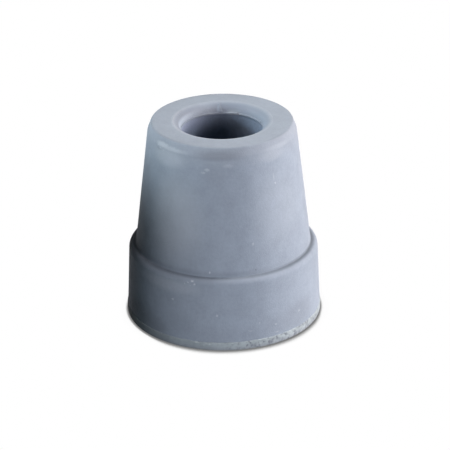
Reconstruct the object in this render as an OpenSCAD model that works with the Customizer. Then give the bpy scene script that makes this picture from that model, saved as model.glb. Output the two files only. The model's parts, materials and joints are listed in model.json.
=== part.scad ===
// Rubber tip for the foot of a tubular walking cane.
// One moulding, round about Z: a tapered cup on a stepped collar, with a ringed tread underneath.
// Millimetres, +Z up. The origin is the centre of the face that meets the ground.

/* [Socket] */
// Outside diameter of the cane tube that the socket grips
tube_d = 19; // [12:0.5:25]
// Depth of the socket's floor below the rim
socket_depth = 34; // [20:1:38]
// Radius of the corner between the socket's wall and its floor
floor_round = 1.5; // [0.5:0.1:3]
// Depth below the rim at which the funnel-shaped mouth meets the straight bore
mouth_depth = 2.3; // [2:0.1:4]
// Lean of the mouth's funnel, from the vertical, in degrees
mouth_lean = 15; // [5:1:30]
// Radius of the edge between the rim and the mouth
mouth_round = 2.2; // [0.5:0.1:2.6]

/* [Body] */
// Height of the whole tip
tip_h = 48; // [42:1:60]
// Wall between the bore and the outside at the rim, as if no edge there were rounded
rim_wall = 7.5; // [6:0.1:10]
// Taper of the body, from the vertical, in degrees
body_draft = 6.8; // [2:0.1:9]

/* [Rim] */
// Width of the bevel round the outside of the rim, as if no edge there were rounded
bevel_w = 0.6; // [0.4:0.1:2]
// Lean of the bevel, from the vertical, in degrees
bevel_lean = 22; // [15:1:60]
// Radius of the edge between the flat top and the bevel
top_round = 0.5; // [0.2:0.1:1.2]
// Radius of the edge between the bevel and the body's side
shoulder_round = 3; // [0.5:0.1:4]

/* [Collar] */
// Height of the collar above the ground
collar_h = 17.7; // [10:0.1:24]
// Width of the step from the body out to the collar
collar_step = 1.6; // [1.2:0.1:3]
// Taper of the collar, from the vertical, in degrees
collar_draft = 2.5; // [0.5:0.1:5]
// Radius of the rounded upper edge of the collar
collar_round = 1.5; // [0.3:0.1:1.8]
// Radius of the fillet in the corner between the body and the collar
step_fillet = 0.3; // [0.1:0.05:0.6]

/* [Trimmed edge] */
// Height of the band at the foot, where the mould's halves met and the flash was cut away
trim_h = 2.2; // [1.2:0.1:4]
// How far that band stands proud of the collar, and the radius of its upper edge
trim_proud = 0.15; // [0.1:0.05:0.5]
// Radius of the edge where the band turns under to the ground
foot_round = 0.5; // [0.2:0.1:0.8]

/* [Tread] */
// Number of ring grooves in the ground face
groove_count = 3; // [1:1:3]
// Width of each groove at the ground
groove_w = 2.4; // [1.6:0.1:3]
// Depth of each groove
groove_depth = 2; // [1.4:0.1:4]
// Lean of each groove's walls, from the vertical, in degrees
groove_draft = 8; // [2:1:12]
// Width of the outermost ring, from the foot's edge to the first groove
edge_land = 3.4; // [2:0.1:5]
// Width of the rings between the grooves
ring_land = 2.6; // [1.5:0.1:3.5]
// Radius of the round dimple in the middle of the tread
dimple_r = 1.8; // [1:0.1:3]
// Depth of that dimple
dimple_depth = 0.8; // [0.3:0.1:1]

/* [Hidden] */
$fn = 128;

bore_r = tube_d / 2;

// Radius of the body's side at height z, carried on to the rim as if that had no round.
function body_r(z) = bore_r + rim_wall + (tip_h - z) * tan(body_draft);

// Radius of the collar's side at height z.
function collar_r(z) = body_r(collar_h) + collar_step + (collar_h - z) * tan(collar_draft);

// Radius of the trimmed band, which is the widest part of the tip.
trim_r = collar_r(trim_h) + trim_proud;

// Radius to the middle of groove i, counted inwards from the edge.
function groove_r(i) = trim_r - edge_land - groove_w / 2 - i * (groove_w + ring_land);

// Unit vector square to a side that leans in by so many degrees, pointing out of the rubber.
function out_of(lean) = [cos(lean), sin(lean)];

// Lean of a surface that faces straight up.
flat = 90;

// Centre of the arc of radius r that rounds a corner between two sides, given by their leans.
function arc_centre(corner, lean_a, lean_b, r) =
    corner - r * (out_of(lean_a) + out_of(lean_b)) / (1 + out_of(lean_a) * out_of(lean_b));

// The bevel runs down from the flat top's edge to the height at which it meets the body's side.
top_corner = [bore_r + rim_wall - bevel_w, tip_h];
bevel_h = bevel_w / (tan(bevel_lean) - tan(body_draft));
shoulder_corner = [body_r(tip_h - bevel_h), tip_h - bevel_h];
top_centre = arc_centre(top_corner, bevel_lean, flat, top_round);
shoulder_centre = arc_centre(shoulder_corner, body_draft, bevel_lean, shoulder_round);

collar_corner = [collar_r(collar_h), collar_h];
collar_centre = arc_centre(collar_corner, collar_draft, flat, collar_round);

// Wedge of a disc that rounds the corner between two leaning sides.
module rounded_corner(corner, lean_a, lean_b, r) {
    centre = arc_centre(corner, lean_a, lean_b, r);
    intersection() {
        polygon([centre, centre + r * out_of(lean_a), corner, centre + r * out_of(lean_b)]);
        translate(centre)
            circle(r = r);
    }
}

// Half section of the tapered body, which carries on down inside the collar.
module body_section() {
    polygon([
        [0, trim_h],
        [body_r(trim_h), trim_h],
        shoulder_centre + shoulder_round * out_of(body_draft),
        shoulder_centre,
        shoulder_centre + shoulder_round * out_of(bevel_lean),
        top_centre + top_round * out_of(bevel_lean),
        top_centre,
        [top_centre.x, tip_h],
        [0, tip_h]
    ]);
    rounded_corner(shoulder_corner, body_draft, bevel_lean, shoulder_round);
    rounded_corner(top_corner, bevel_lean, flat, top_round);
}

// Half section of the collar, down to the top of the trimmed band.
module collar_section() {
    polygon([
        [0, trim_h],
        [collar_r(trim_h), trim_h],
        collar_centre + collar_round * out_of(collar_draft),
        collar_centre,
        [collar_centre.x, collar_h],
        [0, collar_h]
    ]);
    rounded_corner(collar_corner, collar_draft, flat, collar_round);
}

// Section of the fillet that rolls from the body's side on to the collar.
// It lands on the collar's rounded edge, or on the flat inside that edge where the step is wide enough.
module fillet_section() {
    side = out_of(body_draft);
    up = [-side.y, side.x];
    flat_x = body_r(collar_h + step_fillet) + step_fillet / cos(body_draft);
    lands_flat = flat_x <= collar_centre.x;
    reach = collar_round + step_fillet;
    out = body_r(0) * cos(body_draft) + step_fillet - collar_centre * side;
    centre = lands_flat
        ? [flat_x, collar_h + step_fillet]
        : collar_centre + out * side + sqrt(reach * reach - out * out) * up;
    root_z = collar_centre.y;
    difference() {
        polygon([
            centre,
            centre - step_fillet * side,
            [centre.x - 2 * step_fillet, root_z],
            [lands_flat ? centre.x : collar_centre.x, root_z]
        ]);
        translate(centre)
            circle(r = step_fillet);
    }
}

// Half section of the trimmed band, rounded along its upper edge and where it turns under.
module trim_section() {
    square([trim_r - foot_round, trim_h - trim_proud]);
    translate([0, foot_round])
        square([trim_r, trim_h - foot_round - trim_proud]);
    translate([0, foot_round])
        square([trim_r - trim_proud, trim_h - foot_round]);
    translate([trim_r - foot_round, foot_round])
        circle(r = foot_round);
    translate([trim_r - trim_proud, trim_h - trim_proud])
        circle(r = trim_proud);
}

// Half section of the space in the straight bore, which ends in a rounded corner and a flat floor.
module bore_section() {
    floor_z = tip_h - socket_depth;
    corner_z = floor_z + floor_round;
    translate([0, floor_z])
        square([bore_r - floor_round, floor_round]);
    translate([0, corner_z])
        square([bore_r, tip_h - corner_z]);
    intersection() {
        translate([0, floor_z])
            square([bore_r, floor_round]);
        translate([bore_r - floor_round, corner_z])
            circle(r = floor_round);
    }
}

// Half section of the space in the mouth: a short funnel that opens out over a rounded edge on to the rim.
module mouth_section() {
    funnel = tan(mouth_lean) * (mouth_depth - mouth_round) + mouth_round / cos(mouth_lean);
    centre = [bore_r + funnel, tip_h - mouth_round];
    difference() {
        polygon([
            [0, tip_h - mouth_depth],
            [bore_r, tip_h - mouth_depth],
            centre + mouth_round * [-cos(mouth_lean), sin(mouth_lean)],
            centre,
            [centre.x, tip_h + mouth_round],
            [0, tip_h + mouth_round]
        ]);
        translate(centre)
            circle(r = mouth_round);
    }
}

// Section of one tread groove: leaning walls that run into a full round bottom.
module groove_section(centre_r) {
    flare = groove_depth * tan(groove_draft);
    half_w = groove_w / 2;
    bottom_r = (half_w - flare) * cos(groove_draft) / (1 - sin(groove_draft));
    tangent = bottom_r * out_of(groove_draft);
    translate([centre_r, 0]) {
        polygon([
            [-half_w - flare, -groove_depth],
            [half_w + flare, -groove_depth],
            [tangent.x, groove_depth - bottom_r + tangent.y],
            [-tangent.x, groove_depth - bottom_r + tangent.y]
        ]);
        translate([0, groove_depth - bottom_r])
            circle(r = bottom_r);
    }
}

// Half section of the shallow dimple in the middle of the tread, a cap of a ball.
module dimple_section() {
    ball_r = (dimple_r * dimple_r + dimple_depth * dimple_depth) / (2 * dimple_depth);
    translate([0, dimple_depth - ball_r])
        circle(r = ball_r);
}

// The whole moulding, turned from its half section.
module cane_tip() {
    color([0.56, 0.6, 0.66])
        rotate_extrude()
            difference() {
                union() {
                    body_section();
                    collar_section();
                    fillet_section();
                    trim_section();
                }
                bore_section();
                mouth_section();
                for (i = [0 : groove_count - 1])
                    groove_section(groove_r(i));
                dimple_section();
            }
}

cane_tip();
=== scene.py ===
import json
import math

import bpy
import numpy as np
from mathutils import Matrix, Vector, noise


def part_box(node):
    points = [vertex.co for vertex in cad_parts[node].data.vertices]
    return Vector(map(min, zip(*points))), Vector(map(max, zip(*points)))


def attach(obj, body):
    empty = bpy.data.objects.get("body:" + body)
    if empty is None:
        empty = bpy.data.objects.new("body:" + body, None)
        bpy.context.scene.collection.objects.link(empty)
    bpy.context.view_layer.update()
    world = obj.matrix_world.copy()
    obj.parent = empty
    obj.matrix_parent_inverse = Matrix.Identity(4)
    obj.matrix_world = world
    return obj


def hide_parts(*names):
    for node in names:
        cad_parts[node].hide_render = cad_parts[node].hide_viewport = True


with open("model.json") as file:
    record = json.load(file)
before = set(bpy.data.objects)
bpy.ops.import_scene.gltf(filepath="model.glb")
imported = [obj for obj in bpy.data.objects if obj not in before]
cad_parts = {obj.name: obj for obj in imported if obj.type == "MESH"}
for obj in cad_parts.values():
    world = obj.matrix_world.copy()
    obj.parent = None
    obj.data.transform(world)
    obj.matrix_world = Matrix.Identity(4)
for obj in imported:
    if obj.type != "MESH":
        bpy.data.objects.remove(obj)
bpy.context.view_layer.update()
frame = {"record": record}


# ---------------------------------------------------------------------------------------------------
# The moulding. The whole tip is one piece of grey rubber, pressed and cured round a core pin that
# leaves the socket. The mould's halves met at the foot, where the flash was cut away with a knife.
# All sizes are in millimetres, up from the ground and out from the axis.
# ---------------------------------------------------------------------------------------------------
MM = 0.001

# The height, the foot and the socket come from the frame, and the rest are the mould's own sizes.
node_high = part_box("cane_tip")[1]
mounts = {mount["name"]: mount for mount in frame["record"]["mounts"]}
tip_h = node_high.z / MM
trim_r = round(node_high.x / MM, 2)
bore_r = mounts["socket"]["dims"]["r_mm"]

socket_depth, floor_round = 34, 1.5
mouth_depth, mouth_lean, mouth_round = 2.3, math.radians(15), 2.2
rim_wall, body_draft = 7.5, math.radians(6.8)
bevel_w, bevel_lean, top_round, shoulder_round = 0.6, math.radians(22), 0.5, 3
collar_h, collar_step, collar_draft, collar_round, step_fillet = 17.7, 1.6, math.radians(2.5), 1.5, 0.3
trim_h, trim_proud, foot_round = 2.2, 0.15, 0.5
groove_count, groove_w, groove_depth, groove_draft, groove_lip = 3, 2.4, 2, math.radians(8), 0.15
edge_land, ring_land, dimple_r, dimple_depth = 3.4, 2.6, 1.8, 0.8

# The knife's ragged line along the foot fades out at this height on the collar.
torn_top = 3.2


def body_side(z):
    """Radius of the body's side at height z."""
    return bore_r + rim_wall + (tip_h - z) * math.tan(body_draft)


def collar_side(z):
    """Radius of the collar's side at height z."""
    return body_side(collar_h) + collar_step + (collar_h - z) * math.tan(collar_draft)


def facing(lean):
    """Unit vector out of the rubber, square to a side that leans in by so much."""
    return np.array([math.cos(lean), math.sin(lean)])


def arc_centre(corner, lean_a, lean_b, radius):
    """Centre of the arc that rounds a corner between two sides, given by their leans."""
    a, b = facing(lean_a), facing(lean_b)
    return np.array(corner) - radius * (a + b) / (1 + a @ b)


def line(start, end, step):
    """Points from start to end, about step apart, with both ends."""
    start, end = np.array(start, float), np.array(end, float)
    count = max(1, round(float(np.linalg.norm(end - start)) / step))
    return [tuple(start + (end - start) * i / count) for i in range(count + 1)]


def arc(centre, radius, start, end, count):
    """Points on an arc between two angles in radians, with both ends."""
    angles = np.linspace(start, end, count + 1)
    return [(centre[0] + radius * math.cos(a), centre[1] + radius * math.sin(a)) for a in angles]


def groove(centre_r):
    """One tread groove, from its inner lip to its outer lip."""
    half_w = groove_w / 2
    flare = groove_depth * math.tan(groove_draft)
    bottom = (half_w - flare) * math.cos(groove_draft) / (1 - math.sin(groove_draft))
    soft = groove_lip * 0.3
    return [
        (centre_r - half_w - groove_lip, 0),
        (centre_r - half_w - soft, soft),
        (centre_r - half_w, groove_lip),
        *arc((centre_r, groove_depth - bottom), bottom, math.pi - groove_draft, groove_draft, 6),
        (centre_r + half_w, groove_lip),
        (centre_r + half_w + soft, soft),
        (centre_r + half_w + groove_lip, 0),
    ]


# The half section, from the middle of the tread round the outside, over the rim and down the socket.
# Each stretch has a name, because the mould, the knife and the core pin each leave their own surface.
section = []


def stretch(name, points):
    """Adds a named stretch to the section, leaving out a first point that is already there."""
    for r, z in points:
        if not section or math.hypot(r - section[-1][0], z - section[-1][1]) > 1e-4:
            section.append((r, z, name))


flat = math.pi / 2
ball_r = (dimple_r**2 + dimple_depth**2) / (2 * dimple_depth)
ball_edge = math.asin(dimple_r / ball_r)
stretch("tread", arc((0, dimple_depth - ball_r), ball_r, flat, flat - ball_edge, 5))
for i in reversed(range(groove_count)):
    stretch("tread", groove(trim_r - edge_land - groove_w / 2 - i * (groove_w + ring_land)))
stretch("tread", line(section[-1][:2], (trim_r - foot_round, 0), 1))

stretch("trim", arc((trim_r - foot_round, foot_round), foot_round, -flat, 0, 6))
stretch("trim", line((trim_r, foot_round), (trim_r, trim_h - trim_proud), 0.11))
stretch("trim", arc((trim_r - trim_proud, trim_h - trim_proud), trim_proud, 0, flat, 3))

collar_centre = arc_centre((collar_side(collar_h), collar_h), collar_draft, flat, collar_round)
collar_top = collar_centre[1] + collar_round * math.sin(collar_draft)
stretch("collar", line((collar_side(trim_h), trim_h), (collar_side(torn_top), torn_top), 0.2))
stretch("collar", line((collar_side(torn_top), torn_top), (collar_side(collar_top), collar_top), 1))

# The fillet rolls between the collar's rounded edge and the body's side.
side_up = np.array([-math.sin(body_draft), math.cos(body_draft)])
fillet_out = body_side(0) * math.cos(body_draft) + step_fillet - collar_centre @ facing(body_draft)
fillet_up = math.sqrt((collar_round + step_fillet) ** 2 - fillet_out**2)
fillet_centre = collar_centre + fillet_out * facing(body_draft) + fillet_up * side_up
meets = math.atan2(*(fillet_centre - collar_centre)[::-1])
stretch("collar", arc(collar_centre, collar_round, collar_draft, meets, 9))
stretch("body", arc(fillet_centre, step_fillet, meets - math.pi, body_draft - math.pi, 4))

# The rim is a flat ring with a rounded edge, then a steep bevel that rounds into the body's side.
bevel_low = tip_h - bevel_w / (math.tan(bevel_lean) - math.tan(body_draft))
top_centre = arc_centre((bore_r + rim_wall - bevel_w, tip_h), bevel_lean, flat, top_round)
shoulder_centre = arc_centre((body_side(bevel_low), bevel_low), body_draft, bevel_lean, shoulder_round)
shoulder_z = shoulder_centre[1] + shoulder_round * math.sin(body_draft)
stretch("body", line(section[-1][:2], (body_side(shoulder_z), shoulder_z), 1))
stretch("rim", arc(shoulder_centre, shoulder_round, body_draft, bevel_lean, 6))
stretch("rim", line(section[-1][:2], top_centre + top_round * facing(bevel_lean), 0.2))
stretch("rim", arc(top_centre, top_round, bevel_lean, flat, 6))

# The mouth is a short funnel, which rolls over a rounded edge on to the rim.
funnel = math.tan(mouth_lean) * (mouth_depth - mouth_round) + mouth_round / math.cos(mouth_lean)
mouth_centre = (bore_r + funnel, tip_h - mouth_round)
lip_z = tip_h - mouth_depth
stretch("rim", line(section[-1][:2], (mouth_centre[0], tip_h), 0.4))
stretch("mouth", arc(mouth_centre, mouth_round, flat, math.pi - mouth_lean, 12))
stretch("mouth", line(section[-1][:2], (bore_r + 0.1, lip_z + 0.1 / math.tan(mouth_lean)), 0.14))

# A thin lip of flash runs round the mouth, where rubber crept in between the core pin and the mould.
lip = [(0.04, 0.1), (-0.02, 0.16), (-0.1, 0.14), (-0.14, 0.04), (-0.1, -0.1), (0, -0.24)]
stretch("lip", [(bore_r + r, lip_z + z) for r, z in lip])

# The core pin leaves a straight bore, a rounded corner and a flat floor.
floor_z = tip_h - socket_depth
stretch("bore", line(section[-1][:2], (bore_r, lip_z - 2), 0.4))
stretch("bore", line(section[-1][:2], (bore_r, floor_z + floor_round), 2.8))
stretch("bore", arc((bore_r - floor_round, floor_z + floor_round), floor_round, 0, -flat, 5))
stretch("bore", line(section[-1][:2], (0, floor_z), 2.5))


def hump(value, middle, half):
    """A smooth hump, 1 in the middle and 0 from half a width away."""
    return max(0.0, 1 - ((value - middle) / half) ** 2) ** 2


def slide(value, start, end):
    """Runs smoothly from 0 at start to 1 at end."""
    part = min(1.0, max(0.0, (value - start) / (end - start)))
    return part * part * (3 - 2 * part)


def rough(point, size, seed=0):
    """Soft noise from -1 to 1 with lumps of about the given size."""
    return noise.noise(point / size + Vector((seed * 7.1, seed * 3.7, seed * 5.3)))


def lumps(point, size, seed=0):
    """Soft noise from 0 to 1 with lumps of about the given size."""
    return 0.5 + 0.5 * rough(point, size, seed)


# All turns are in degrees from the front, to the right up to 180 and to the left down to -180.
# The shred stays on the lip where its flash tore off, and the knife tore the foot most at one place.
shred_turn = 163
torn_turn = 38


def flash(turn):
    """Height of the lip of flash: a thin line all round, with one torn shred left at the back."""
    edge = Vector((math.sin(math.radians(turn)), math.cos(math.radians(turn)), 0)) * bore_r
    fine = 0.05 + 0.05 * rough(edge, 0.9) + 0.03 * rough(edge, 0.35)
    shred = 0.24 * hump(turn, shred_turn, 11) * (0.85 + 0.3 * rough(edge, 0.5, 1))
    notch = 0.4 * hump(turn, 155.5, 2.5)
    nick = 0.16 * hump(turn, 110, 6) * (1 + rough(edge, 0.4, 2))
    soft = 0.09 * hump(turn, -111, 30)
    return fine + shred - notch + nick - soft


def weld(turn, z):
    """Height of the small triangular fin in the mouth, a fold that rises to a steep right-hand edge."""
    turn -= 360 if turn > 90 else 0
    up = (z - 46.0) / 1.8
    if not 0 < up < 1:
        return 0.0
    left, right = -170 - 6 * up, -180.5 + 4.5 * up
    rise = (left - turn) / (left - right)
    return 0.3 * (1 - 0.4 * up) * slide(rise, 0, 0.9) * (1 - slide(rise, 0.93, 1.12))


def torn_edge(point):
    """How far the knife's line along the foot wanders up or down."""
    level = Vector((point.x, point.y, 0))
    return 0.1 * rough(level, 2.5, 3) + 0.06 * rough(level, 0.9, 4) - 0.05


def relief(name, turn, z, point):
    """How far a point stands out of its stretch of the section, and how far it is lifted."""
    swell = -0.05 * lumps(point, 9) - 0.012 * lumps(point, 2.2)
    if name == "trim":
        pits = slide(rough(point, 0.9, 6), 0.1, 0.5) * (0.2 + 0.8 * hump(turn, torn_turn, 42))
        bite = 0.02 + 0.05 * lumps(point, 1.2, 5) + 0.07 * pits
        return -bite * slide(z, 0, 0.5), torn_edge(point) * slide(z, 0.9, 1.9)
    if name == "collar" and z < torn_top:
        return swell, torn_edge(point) * (1 - slide(z, trim_h, torn_top))
    if name in ("body", "collar", "rim"):
        return swell, 0.0
    if name == "mouth":
        dents = 0.03 * lumps(point, 1.6, 8) * slide(tip_h - z, 0, 0.3)
        return weld(turn, z) - dents, 0.0
    if name == "lip":
        crest = hump(z, lip_z + 0.12, 0.2)
        return flash(turn) * crest * 0.25, flash(turn) * crest
    if name == "bore":
        return -0.02 * lumps(point, 3, 9), 0.0
    return 0.0, 0.0


# The section is turned about the axis, and each point of it is moved square to the section.
turns = 480
rings = np.array([(r, z) for r, z, name in section])
names = [name for r, z, name in section]
along = np.gradient(rings, axis=0)
square = np.stack([along[:, 1], -along[:, 0]], axis=1)
square /= np.linalg.norm(square, axis=1)[:, None]

verts = []
for ring, (r, z) in enumerate(rings):
    on_axis = r < 1e-6
    for turn in range(1 if on_axis else turns):
        angle = 2 * math.pi * turn / turns
        sine, cosine = math.sin(angle), math.cos(angle)
        from_front = (math.degrees(angle) + 180) % 360 - 180
        point = Vector((r * sine, -r * cosine, z))
        out, lifted = (0, 0) if on_axis else relief(names[ring], from_front, z, point)
        far = r + out * square[ring][0]
        height = z + out * square[ring][1] + lifted
        verts.append((far * sine * MM, -far * cosine * MM, height * MM))


def vert(ring, turn):
    """Number of a vertex. The first and the last ring are single points on the axis."""
    if ring in (0, len(rings) - 1):
        return 0 if ring == 0 else len(verts) - 1
    return 1 + (ring - 1) * turns + turn % turns


# Each stretch gets the material of its surface, by the order in which the materials are made below.
surfaces = {"trim": 1, "bore": 2, "mouth": 3, "lip": 3}
faces, slots = [], []
for ring in range(len(rings) - 1):
    for turn in range(turns):
        corners = [vert(ring, turn), vert(ring, turn + 1), vert(ring + 1, turn + 1), vert(ring + 1, turn)]
        faces.append(list(dict.fromkeys(corners)))
        slots.append(surfaces.get(names[ring + 1], 0))

mesh = bpy.data.meshes.new("moulding")
mesh.from_pydata(verts, [], faces)
mesh.update()
mesh.shade_smooth()
moulding = bpy.data.objects.new("moulding", mesh)
bpy.context.scene.collection.objects.link(moulding)


def add(tree, kind, inputs=None, **settings):
    """Adds a node, with its settings, and sets or links its inputs."""
    node = tree.nodes.new(kind)
    for key, value in settings.items():
        setattr(node, key, value)
    for key, value in (inputs or {}).items():
        if isinstance(value, bpy.types.NodeSocket):
            tree.links.new(value, node.inputs[key])
        else:
            node.inputs[key].default_value = value
    return node


def group(name, inputs, outputs):
    """Makes a node group with float outputs, and gives the group and its two end nodes."""
    tree = bpy.data.node_groups.new(name, "ShaderNodeTree")
    for label, kind in inputs.items():
        tree.interface.new_socket(name=label, in_out="INPUT", socket_type=kind)
    for label in outputs:
        tree.interface.new_socket(name=label, in_out="OUTPUT", socket_type="NodeSocketFloat")
    return tree, tree.nodes.new("NodeGroupInput").outputs, tree.nodes.new("NodeGroupOutput").inputs


def combine(tree, operation, *terms):
    """Joins any number of values by one operation, such as ADD or MULTIPLY."""
    total = terms[0]
    for term in terms[1:]:
        total = add(tree, "ShaderNodeMath", {0: total, 1: term}, operation=operation).outputs[0]
    return total


def times(tree, *terms):
    """Multiplies any number of masks, so that a mark shows only where all of them do."""
    return combine(tree, "MULTIPLY", *terms)


def ramp(tree, value, start, end, low=0.0, high=1.0, kind="LINEAR"):
    """Runs from low, where the value is at start, to high, where it is at end, and stays there beyond."""
    limits = {"Value": value, "From Min": start, "From Max": end, "To Min": low, "To Max": high}
    return add(tree, "ShaderNodeMapRange", limits, interpolation_type=kind).outputs[0]


def cloud(tree, vector, size, detail=2.0, low=0.0, high=1.0, seed=0.0):
    """Noise with lumps of the given size, stretched to run from low to high."""
    place = add(tree, "ShaderNodeVectorMath", {0: vector, 1: (seed, seed, seed)}, operation="ADD")
    field = {"Vector": place.outputs[0], "Scale": 1 / size, "Detail": detail}
    field = add(tree, "ShaderNodeTexNoise", field)
    return ramp(tree, field.outputs["Fac"], 0.3, 0.7, low, high)


def turn_of(tree, split):
    """Turn of a place from the front in radians, rising to the right, from its split coordinates."""
    return combine(tree, "ARCTAN2", split[0], times(tree, split[1], -1.0))


def length_of(tree, x, y, z=0.0):
    """Length of the vector that three values make."""
    vector = add(tree, "ShaderNodeCombineXYZ", {0: x, 1: y, 2: z}).outputs[0]
    return add(tree, "ShaderNodeVectorMath", {0: vector}, operation="LENGTH").outputs["Value"]


def off_from(tree, value, middle):
    """How far a value is from a middle, on either side of it."""
    off = combine(tree, "SUBTRACT", value, middle)
    return combine(tree, "MAXIMUM", off, times(tree, off, -1.0))


# Cured rubber dries to a faint patchy bloom over a very fine grain. Share runs from 0 to 1 round 0.5.
bloom_sockets = {"Vector": "NodeSocketVector", "Amount": "NodeSocketFloat"}
bloom_group, given, gives = group("rubber_bloom", bloom_sockets, ["Share", "Grain"])
wide = cloud(bloom_group, given["Vector"], 14, 2, -0.3, 0.3)
patchy = cloud(bloom_group, given["Vector"], 3.5, 3, -0.4, 0.4, 40)
fine = cloud(bloom_group, given["Vector"], 0.7, 3, -0.3, 0.3, 80)
tone = times(bloom_group, combine(bloom_group, "ADD", wide, patchy, fine), given["Amount"])
bloom_group.links.new(combine(bloom_group, "ADD", tone, 0.5), gives["Share"])
bloom_group.links.new(cloud(bloom_group, given["Vector"], 0.28, 2, 0, 1, 120), gives["Grain"])

# Dust lies on it as scattered specks, a few of which are large enough to see.
dust_sockets = {"Vector": "NodeSocketVector", "Spacing": "NodeSocketFloat"}
dust_group, given, gives = group("dust", dust_sockets, ["Specks"])
spaced = combine(dust_group, "DIVIDE", 1.0, given["Spacing"])
cells = add(dust_group, "ShaderNodeTexVoronoi", {"Vector": given["Vector"], "Scale": spaced})
chance = add(dust_group, "ShaderNodeSeparateColor", {0: cells.outputs["Color"]}).outputs
width = ramp(dust_group, chance[0], 0.6, 1.0, 0.0, 0.12)
speck = ramp(dust_group, cells.outputs["Distance"], 0.0, width, 1.0, 0.0)
dust_group.links.new(times(dust_group, speck, chance[1]), gives["Specks"])


# The outside by height, up to the outer edge of the flat ring at the top.
outer = [(z, r) for r, z, name in section if name in ("trim", "collar", "body", "rim")]
ring_edge = next(i for i, (z, r) in enumerate(outer) if z > tip_h - 0.001)
outer_z, outer_r = zip(*outer[: ring_edge + 1])


def outside(z):
    """Radius of the outside at height z."""
    return float(np.interp(z, outer_z, outer_r))


def marks(name, places, wander=0.6):
    """Makes a group that masks marks at chosen places on the outside.

    Each place is the turn from the front in degrees, the height, how far the mark reaches sideways
    and upwards, and how strong it is. Wander is how ragged the marks are.
    """
    tree, given, gives = group(name, {"Vector": "NodeSocketVector"}, ["Mask"])
    ragged = add(tree, "ShaderNodeTexNoise", {"Vector": given["Vector"], "Scale": 2.5, "Detail": 2.0})
    ragged = {0: ragged.outputs["Color"], 1: (wander,) * 3, 2: (-wander / 2,) * 3}
    ragged = add(tree, "ShaderNodeVectorMath", ragged, operation="MULTIPLY_ADD").outputs[0]
    warped = {0: given["Vector"], 1: ragged}
    warped = add(tree, "ShaderNodeVectorMath", warped, operation="ADD").outputs[0]
    split = add(tree, "ShaderNodeSeparateXYZ", {0: warped}).outputs
    angle = turn_of(tree, split)
    radius = length_of(tree, split[0], split[1])
    total = 0.0
    for turn, z, across, up, strength in places:
        sideways = combine(tree, "SUBTRACT", angle, math.radians(turn))
        sideways = times(tree, sideways, outside(z) / across)
        outwards = times(tree, combine(tree, "SUBTRACT", radius, outside(z)), 1 / up)
        upwards = times(tree, combine(tree, "SUBTRACT", split[2], z), 1 / up)
        length = length_of(tree, sideways, outwards, upwards)
        mask = ramp(tree, length, 0.3, 1.0, strength, 0.0, "SMOOTHSTEP")
        total = combine(tree, "MAXIMUM", total, mask)
    tree.links.new(total, gives["Mask"])
    return tree


def use(tree, kind, place, **values):
    """Puts a node group into a material, at the material's own place and with its own values."""
    node = add(tree, "ShaderNodeGroup", values, node_tree=kind)
    tree.links.new(place, node.inputs["Vector"])
    return node.outputs


def over(tree, base, share, colour):
    """Lays a colour over another by a mask."""
    layers = {0: share, 6: base, 7: (*colour, 1)}
    return add(tree, "ShaderNodeMix", layers, data_type="RGBA").outputs[2]


def rubber(name, colour, roughness, gloss, bloom_share):
    """Starts a rubber material.

    Gives its tree, its shader, the place on it in millimetres, that place split, and its bloomed colour.
    """
    material = bpy.data.materials.new(name)
    material.use_nodes = True
    mesh.materials.append(material)
    tree = material.node_tree
    shader = tree.nodes["Principled BSDF"]
    shader.inputs["Roughness"].default_value = roughness
    shader.inputs["Specular IOR Level"].default_value = gloss
    coordinates = add(tree, "ShaderNodeTexCoord").outputs["Object"]
    place = {0: coordinates, "Scale": 1 / MM}
    place = add(tree, "ShaderNodeVectorMath", place, operation="SCALE").outputs[0]
    bloom = use(tree, bloom_group, place, Amount=bloom_share)
    darkest = [0.5 * part for part in colour]
    palest = [1.5 * part for part in colour]
    base = {0: bloom["Share"], 6: (*darkest, 1), 7: (*palest, 1)}
    base = add(tree, "ShaderNodeMix", base, data_type="RGBA").outputs[2]
    bump = {"Height": bloom["Grain"], "Strength": 0.35, "Distance": 0.00006}
    tree.links.new(add(tree, "ShaderNodeBump", bump).outputs[0], shader.inputs["Normal"])
    return tree, shader, place, add(tree, "ShaderNodeSeparateXYZ", {0: place}).outputs, base


# The mould's own surface, on the body, the collar, the rim and the tread: chalky mid grey rubber.
chalky_grey = (0.33, 0.37, 0.42)
upper_grey = (0.365, 0.375, 0.395)
rubbed_and_lit_grey = (0.55, 0.6, 0.66)
dust_grey = (0.55, 0.58, 0.6)
crease_shade = (0.12, 0.13, 0.14)
smudge_and_shade = (0.17, 0.18, 0.19)
scuff_and_highlight = (0.66, 0.69, 0.7)
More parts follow.
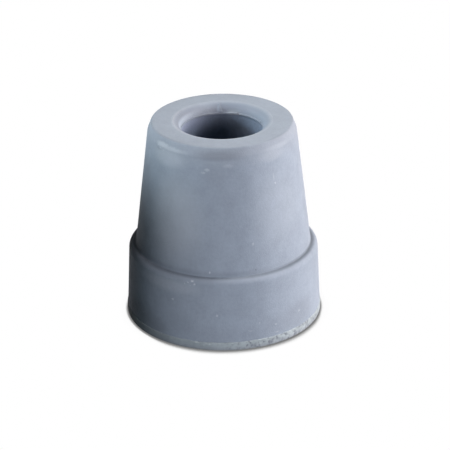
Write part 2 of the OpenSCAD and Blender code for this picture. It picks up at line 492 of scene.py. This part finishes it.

# Pale crumbs and scuffs on the outside, most of them where hands and floors have touched it, and
# painted light: broad faint patches on the body and the collar, and painted highlights on the rim's
# shoulder.
pale_marks = marks(
    "pale_marks",
    [
        # Crumbs and scuffs.
        (-19, 17.0, 0.5, 0.35, 1.0),
        (-21.5, 16.6, 0.3, 0.25, 0.6),
        (-17.5, 16.3, 0.35, 0.4, 0.6),
        (-23.5, 16.2, 0.25, 0.25, 0.5),
        (-20, 15.9, 0.3, 0.2, 0.5),
        (-9, 18.8, 0.25, 0.35, 0.7),
        (-31.5, 11.6, 0.35, 0.35, 0.5),
        (-4, 8.9, 0.35, 0.4, 0.5),
        (50, 5.9, 0.3, 0.35, 0.4),
        (20, 25.1, 0.35, 0.45, 0.4),
        (41, 38.1, 0.25, 0.35, 0.6),
        (40, 39.6, 0.3, 1.4, 0.25),
        (-11.5, 43, 0.9, 0.5, 0.35),
        (-14, 42.3, 0.8, 0.35, 0.3),
        (4, 44, 1.6, 0.6, 0.2),
        (-38, 20.2, 0.3, 0.3, 0.4),
        # Painted light: broad faint patches on the body's front left and front right, and low on the
        # collar's left.
        (-37, 30, 10.0, 14.0, 0.24),
        (42, 32, 10.0, 12.0, 0.08),
        (-36, 15.0, 11.0, 2.3, 0.19),
        # A painted highlight on the rim's shoulder at the left.
        (-44, 46.2, 6.0, 0.8, 0.3),
        # Small pale flecks on the shoulder at the left.
        (-54, 45.5, 0.5, 0.3, 0.4),
        (-50, 45.3, 0.6, 0.3, 0.35),
        (-57, 46.0, 0.6, 0.3, 0.4),
        (-46, 45.2, 0.5, 0.25, 0.3),
        # Painted highlights on the rim's shoulder, at the left and then at the right.
        (-52, 46.4, 3.2, 0.9, 0.42),
        (-46, 44.0, 7.0, 3.0, 0.26),
        (46, 46.2, 6.0, 0.9, 0.14),
        (40, 44.8, 5.0, 1.8, 0.15),
        # Crumbs and scuffs low on the collar.
        (21, 6.2, 0.3, 0.3, 0.35),
        (31.5, 5.0, 0.4, 0.3, 0.35),
        (32.5, 2.9, 0.8, 0.15, 0.4),
        (15.5, 4.6, 0.9, 0.15, 0.3),
    ],
)

# Dark smudges where the front of the rim is handled and soiled, and a few stray dots; and painted
# shade, broad on the body's left and low round the collar, and thin along the outer edge of the rim.
dark_marks = marks(
    "dark_marks",
    [
        # Smudges at the front of the rim and just below it.
        (-3, 46.2, 7.0, 1.6, 0.32),
        (-6, 42.3, 4.0, 3.0, 0.14),
        # Painted shade: broad on the body's left, then low round the collar at the left, the right and
        # the front.
        (-88, 32, 12.0, 14.0, 0.2),
        (-60, 3.5, 9.0, 5.5, 0.42),
        (-45, 3.4, 5.0, 3.5, 0.3),
        (48, 5, 10.0, 5.0, 0.2),
        (0, 3.5, 11.0, 3.5, 0.08),
        # More smudges at the front of the rim.
        (-8, 46.4, 2.4, 0.7, 0.12),
        (-12, 45.6, 1.4, 0.7, 0.12),
        # Painted shade along the outer edge of the rim's flat, at the left and the right.
        (-46, 48.0, 8.5, 0.3, 0.14),
        (46, 48.0, 7.0, 0.3, 0.12),
        # Stray dots, and a small smudge at the left of the shoulder.
        (21, 18.8, 0.25, 0.25, 0.5),
        (24, 18.6, 0.2, 0.2, 0.3),
        (-56, 45.2, 1.4, 0.4, 0.25),
    ],
)

tree, shader, place, split, base = rubber("moulded_rubber", chalky_grey, 0.6, 0.02, 0.12)
height = split[2]
# The masks that run by the turn aren't joined up at the very back, so they step there.
turned = turn_of(tree, split)
specks = use(tree, dust_group, place, Spacing=2.2)["Specks"]
base = over(tree, base, times(tree, specks, 0.3), dust_grey)

# Towards the top, from 43 mm up, the rubber turns a slightly warmer grey.
base = over(tree, base, ramp(tree, height, 43, 47, 0, 0.3), upper_grey)

# The crease above the collar is darkened with painted shade, more so towards the right.
step_out = combine(tree, "SUBTRACT", length_of(tree, split[0], split[1]), body_side(collar_h))
step_up = times(tree, combine(tree, "SUBTRACT", height, collar_h), 2.5)
crease = ramp(tree, length_of(tree, step_out, step_up), 1.6, 0.2, kind="SMOOTHSTEP")
crease_turn = ramp(tree, turned, 0, math.radians(65), 0, 0.55)
base = over(tree, base, times(tree, crease, crease_turn), crease_shade)

# A softer band of painted shade climbs the body from the crease, more so at the front and the left.
climb = ramp(tree, height, collar_h + 1.8, collar_h + 0.6, 0, 0.22, "SMOOTHSTEP")
sparing = ramp(tree, height, collar_h + 0.1, collar_h + 0.5, 0.3, 1)
front = ramp(tree, turned, math.radians(50), math.radians(10), 0.2, 1)
above = ramp(tree, height, collar_h - 0.3, collar_h)
base = over(tree, base, times(tree, climb, sparing, front, above), crease_shade)

# The collar's rounded edge is paler, more so at the front and the left: a painted highlight, with some
# wear from rubbing.
edge_from = ramp(tree, height, collar_h - 1.2, collar_h - 0.4)
edge_until = ramp(tree, height, collar_h, collar_h - 0.3)
edge_turn = ramp(tree, turned, math.radians(-20), math.radians(70), 0.35, 0.05)
base = over(tree, base, times(tree, edge_from, edge_until, edge_turn), rubbed_and_lit_grey)

base = over(tree, base, use(tree, dark_marks, place)["Mask"], smudge_and_shade)
base = over(tree, base, use(tree, pale_marks, place)["Mask"], scuff_and_highlight)
tree.links.new(base, shader.inputs["Base Color"])

# The knife tears the rubber along the foot. It is paler there, more so at the right of the front,
# where the blade also pulled crumbs out and left pits.
fresh_cut = (0.35, 0.39, 0.4)
torn_grey = (0.5, 0.55, 0.54)
cut_left_shade = (0.18, 0.18, 0.19)
cut_top_highlight = (0.62, 0.68, 0.66)
cut_under_shade = (0.27, 0.28, 0.31)
pit_dark = (0.12, 0.12, 0.15)
cut_scuff = (0.66, 0.7, 0.68)

# A light V-shaped scuff on the trimmed edge, left of the middle.
cut_marks = marks(
    "cut_marks",
    [
        (-15.5, 1.9, 1.0, 0.22, 0.6),
        (-12.5, 1.4, 0.9, 0.22, 0.5),
        (-9.5, 1.7, 1.1, 0.2, 0.45),
        (-5, 1.9, 1.4, 0.2, 0.35),
    ],
    0.9,
)

tree, shader, place, split, base = rubber("cut_rubber", fresh_cut, 0.75, 0.05, 0.2)
turned = turn_of(tree, split)
from_torn = off_from(tree, turned, math.radians(torn_turn))
torn = ramp(tree, from_torn, math.radians(56), math.radians(28))
base = over(tree, base, times(tree, torn, 0.4), torn_grey)
# Painted shade darkens the cut towards the left.
base = over(tree, base, ramp(tree, turned, math.radians(-25), math.radians(-50), 0, 0.3), cut_left_shade)

# A pale line along the top of the cut is a painted highlight, and the rounded edge below it is
# darkened with painted shade.
wavy = combine(tree, "ADD", split[2], cloud(tree, place, 2.2, 2, -0.35, 0.35, 60))
highlight_turn = ramp(tree, turned, math.radians(75), math.radians(35), 0, 0.2)
base = over(tree, base, times(tree, ramp(tree, wavy, 1.5, 2.1), highlight_turn), cut_top_highlight)
base = over(tree, base, ramp(tree, wavy, 1.2, 0.6, 0, 0.38), cut_under_shade)

pitted = ramp(tree, cloud(tree, place, 0.75, 3, 0, 1, 17), 0.4, 0.95, 0, 0.65)
base = over(tree, base, times(tree, pitted, torn, torn), pit_dark)
base = over(tree, base, use(tree, cut_marks, place)["Mask"], cut_scuff)
tree.links.new(base, shader.inputs["Base Color"])

# The core pin leaves the socket smooth and bluer. It is darker than the outside, in part as painted
# shade, and more painted shade darkens it further down and on its front and back walls. Painted light
# makes its left wall paler.
cored_blue = (0.2, 0.235, 0.29)
deep_shade = (0.035, 0.05, 0.08)
left_wall_light = (0.36, 0.4, 0.52)
wall_shade = (0.04, 0.06, 0.08)
tree, shader, place, split, base = rubber("cored_rubber", cored_blue, 0.5, 0.1, 0.22)
base = over(tree, base, ramp(tree, split[2], 46, 36.5, 0, 0.95), deep_shade)
base = over(tree, base, ramp(tree, split[0], -2, -9, 0, 0.75), left_wall_light)
base = over(tree, base, ramp(tree, off_from(tree, split[0], 0), 5, 0.5, 0, 0.4), wall_shade)
tree.links.new(base, shader.inputs["Base Color"])

# The mouth darkens towards its lip with painted shade, most of all at the left, and painted light
# pales a thin band at the left of the lip. The shred left on the lip is pale.
mouth_grey = (0.34, 0.371, 0.413)
lip_shade = (0.245, 0.277, 0.322)
left_shade = (0.14, 0.16, 0.2)
left_lip_light = (0.34, 0.39, 0.45)
shred_pale = (0.55, 0.58, 0.6)
tree, shader, place, split, base = rubber("mouth_rubber", mouth_grey, 0.6, 0.3, 0.12)
across = length_of(tree, split[0], split[1])
inward = ramp(tree, across, 11.5, 10.3, kind="SMOOTHSTEP")
spared = ramp(tree, off_from(tree, split[0], -4.5), 1.5, 4.5, 0.55, 1)
base = over(tree, base, times(tree, inward, spared), lip_shade)
left = ramp(tree, split[0], -4, -10)
base = over(tree, base, times(tree, left, inward, 0.5), left_shade)
base = over(tree, base, times(tree, left, ramp(tree, across, 10.15, 9.8, 0, 0.9)), left_lip_light)
from_shred = off_from(tree, turn_of(tree, split), math.radians(shred_turn))
shred = ramp(tree, from_shred, math.radians(12), math.radians(6))
base = over(tree, base, times(tree, ramp(tree, across, 9.9, 9.6, 0, 0.3), shred), shred_pale)
tree.links.new(base, shader.inputs["Base Color"])

mesh.polygons.foreach_set("material_index", slots)

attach(moulding, "root")
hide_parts("cane_tip")


# ---------------------------------------------------------------------------------------------------
# The table. A plain pale sheet of paper, laid flat under the tip. It darkens only in a thin line
# where the foot shuts the light out, which is a little wider at the front. That line comes from how
# open the paper is, and the lamps cast no shadow on it that the camera sees.
# ---------------------------------------------------------------------------------------------------
def background_rays(tree):
    """Marks the rays that see the plain background: the camera's, and those mirrored or let through."""
    rays = add(tree, "ShaderNodeLightPath").outputs
    mirrored = combine(tree, "MAXIMUM", rays["Is Camera Ray"], rays["Is Glossy Ray"])
    return combine(tree, "MAXIMUM", mirrored, rays["Is Transmission Ray"])


def openness(tree, distance):
    """How open a place is to the light, from 0 to 1, within a distance in metres."""
    return add(tree, "ShaderNodeAmbientOcclusion", {"Distance": distance}, samples=16).outputs["AO"]


bpy.ops.mesh.primitive_plane_add(size=3)
table = bpy.context.object
table.name = "table"
paper = bpy.data.materials.new("pale_paper")
paper.use_nodes = True
tree = paper.node_tree
tree.nodes.clear()

front_way = (0.26, -0.97, 0)
ahead = {0: add(tree, "ShaderNodeTexCoord").outputs["Object"], 1: front_way}
ahead = add(tree, "ShaderNodeVectorMath", ahead, operation="DOT_PRODUCT").outputs["Value"]
reach = ramp(tree, ahead, 0.01, 0.022, 0.0012, 0.0036)
close = ramp(tree, openness(tree, reach), 0.58, 0.8, 0.22, 1)
soft = ramp(tree, openness(tree, 0.0025), 0.5, 1, 0.96, 1)
white = add(tree, "ShaderNodeEmission", {"Color": times(tree, close, soft)}).outputs[0]
plain = add(tree, "ShaderNodeBsdfDiffuse", {"Color": (0.3, 0.3, 0.3, 1)}).outputs[0]
both = add(tree, "ShaderNodeMixShader", {0: background_rays(tree), 1: plain, 2: white}).outputs[0]
add(tree, "ShaderNodeOutputMaterial", {"Surface": both})
table.data.materials.append(paper)


# ---------------------------------------------------------------------------------------------------
# The studio. A white backdrop all round, which is seen and mirrored but gives almost no light of its
# own, and lamps round the tip: softboxes at the front, the right and the back, and narrow spots at
# the left that leave the foot in shade. The right side is lit the most.
# ---------------------------------------------------------------------------------------------------
world = bpy.data.worlds.new("studio")
bpy.context.scene.world = world
world.use_nodes = True
tree = world.node_tree
tree.nodes.clear()
room = add(tree, "ShaderNodeBackground", {"Color": (1, 1, 1, 1), "Strength": 0.01}).outputs[0]
backdrop = add(tree, "ShaderNodeBackground", {"Color": (1, 1, 1, 1), "Strength": 1.0}).outputs[0]
both = add(tree, "ShaderNodeMixShader", {0: background_rays(tree), 1: room, 2: backdrop}).outputs[0]
add(tree, "ShaderNodeOutputWorld", {"Surface": both})


def around(turn, rise, distance, height):
    """A point round the tip, by its turn from the front and its rise above a height on the axis."""
    turn, rise = math.radians(turn), math.radians(rise)
    flat = math.cos(rise)
    way = Vector((math.sin(turn) * flat, -math.cos(turn) * flat, math.sin(rise)))
    return way * distance + Vector((0, 0, height))


def aim(lamp, target):
    """Turns a lamp or the camera towards a point."""
    lamp.rotation_mode = "QUATERNION"
    lamp.rotation_quaternion = (target - lamp.location).to_track_quat("-Z", "Y")


def hang(name, data, place, target):
    """Hangs a lamp, out of the camera's sight, and aims it."""
    lamp = bpy.data.objects.new(name, data)
    bpy.context.scene.collection.objects.link(lamp)
    lamp.location = place
    lamp.visible_camera = False
    aim(lamp, target)
    return lamp


def softbox(name, turn, rise, wide, high, power, colour):
    """An oval diffuser a metre from the middle of the tip."""
    middle = 0.026
    data = bpy.data.lights.new(name, "AREA")
    data.shape, data.size, data.size_y = "ELLIPSE", wide, high
    data.energy, data.color = power, colour
    hang(name, data, around(turn, rise, 1.0, middle), Vector((0, 0, middle)))


def high_spot(name, turn, rise, power, colour):
    """A spot from the side, aimed over the tip so that its soft edge fades out halfway down the side."""
    data = bpy.data.lights.new(name, "SPOT")
    data.energy, data.color = power, colour
    data.shadow_soft_size, data.spot_blend = 0.008, 1.0
    target = Vector((0, 0, 0.06))
    lamp = hang(name, data, around(turn, rise, 0.8, 0.03), target)
    edge = around(turn, 0, 0.018, 0.024)
    data.spot_size = 2 * (target - lamp.location).angle(edge - lamp.location)


softbox("front_right", 30, 12, 0.3, 0.3, 5.7, (1.0, 0.93, 1.0))
softbox("low_front", 15, 3, 0.4, 0.06, 1.5, (0.35, 0.75, 1.0))
softbox("right", 105, 12, 0.3, 0.3, 8.1, (1.0, 0.9, 0.9))
softbox("high_right", 105, 35, 0.3, 0.3, 5.0, (0.95, 0.98, 1.0))
softbox("back", 150, 12, 0.3, 0.3, 1.5, (1.0, 1.0, 1.0))
for number, turn in enumerate((-82, -90, -98)):
    high_spot("left_" + str(number + 1), turn, 20, 5.1, (0.64, 0.85, 1.0))
for number, turn in enumerate((-80, -88, -96, -104, -112)):
    high_spot("high_left_" + str(number + 1), turn, 45, 3.8, (1.0, 0.98, 0.99))


# ---------------------------------------------------------------------------------------------------
# The camera, a long lens half a metre away, looking down at the tip and rolled a little to one side.
# ---------------------------------------------------------------------------------------------------
camera_data = bpy.data.cameras.new("camera")
camera_data.lens = 175.4
camera_data.sensor_width = 36
camera_data.clip_start = 0.01
camera = bpy.data.objects.new("camera", camera_data)
bpy.context.scene.collection.objects.link(camera)
bpy.context.scene.camera = camera
camera.location = around(0, 24.98, 0.515, 0.024)
aim(camera, Vector((0.00043, 0, 0.0212)))
roll = Matrix.Rotation(math.radians(-0.62), 3, "Z").to_quaternion()
camera.rotation_quaternion = camera.rotation_quaternion @ roll

bpy.context.scene.view_settings.view_transform = "Standard"
